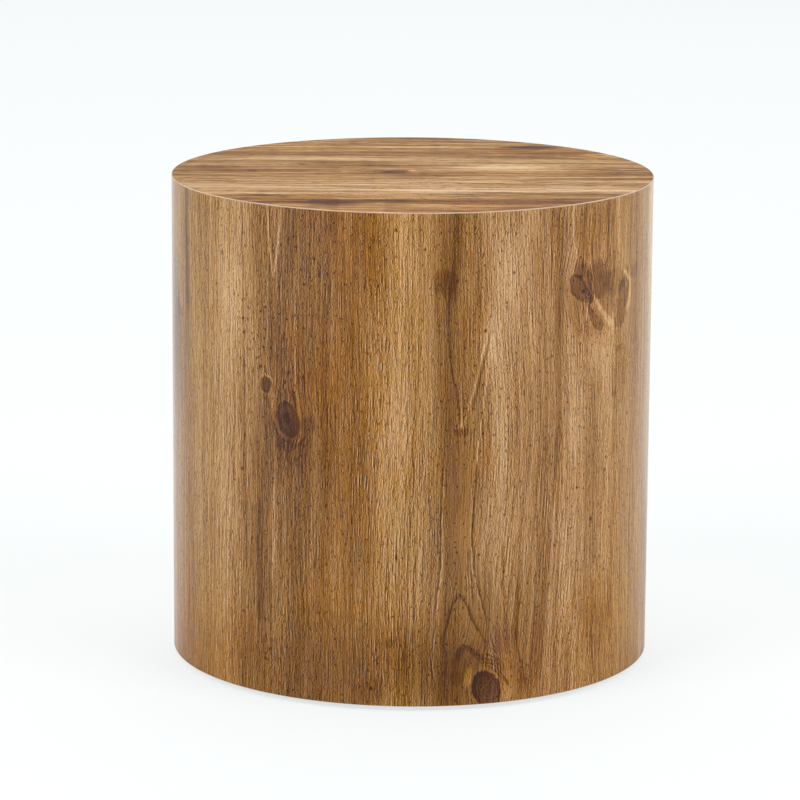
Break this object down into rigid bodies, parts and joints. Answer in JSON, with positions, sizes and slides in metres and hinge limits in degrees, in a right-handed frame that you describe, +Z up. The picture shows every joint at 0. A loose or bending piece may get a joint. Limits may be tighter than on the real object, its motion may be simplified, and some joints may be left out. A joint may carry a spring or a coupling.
{
  "type": "cylindrical coffee table",
  "caption": "Drum-shaped coffee table: a round wood-grain top flush with a full-height round wall, hollow inside, standing on felt glides.",
  "frame": {"origin": "on the floor, under the centre of the drum, in the plane of the felt glides' lower faces", "axes": "+Z up along the drum's axis; the front of the drum, without seams, faces -Y, and the laminate's seam is at the back, towards +Y"},
  "size_m": [0.4, 0.4, 0.406],
  "materials": {
    "wood_grain_laminate": "satin",
    "mdf": "matte",
    "balancing_sheet": "matte",
    "bending_plywood": "matte",
    "pine": "matte",
    "beech": "matte",
    "zinc_steel": "satin",
    "nylon": "matte",
    "felt": "matte"
  },
  "bodies": {
    "root": {"top_laminate": "wood_grain_laminate", "side_laminate": "wood_grain_laminate", "top_board": "mdf", "top_balancer": "balancing_sheet", "outer_wall_ply": "bending_plywood", "inner_wall_ply": "bending_plywood", "upper_former": "mdf", "middle_former": "mdf", "base_former": "mdf", "board_dowels": "beech", "board_screws": "zinc_steel", "batten_head_screws": "zinc_steel", "batten_foot_screws": "zinc_steel", "middle_former_screws": "zinc_steel", "wall_pins": "zinc_steel", "glide_nails": "zinc_steel", "batten_1": "pine", "batten_2": "pine", "batten_3": "pine", "batten_4": "pine", "batten_5": "pine", "batten_6": "pine", "batten_7": "pine", "batten_8": "pine", "glide_cup_1": "nylon", "glide_felt_1": "felt", "glide_cup_2": "nylon", "glide_felt_2": "felt", "glide_cup_3": "nylon", "glide_felt_3": "felt", "glide_cup_4": "nylon", "glide_felt_4": "felt"}
  },
  "joints": []
}
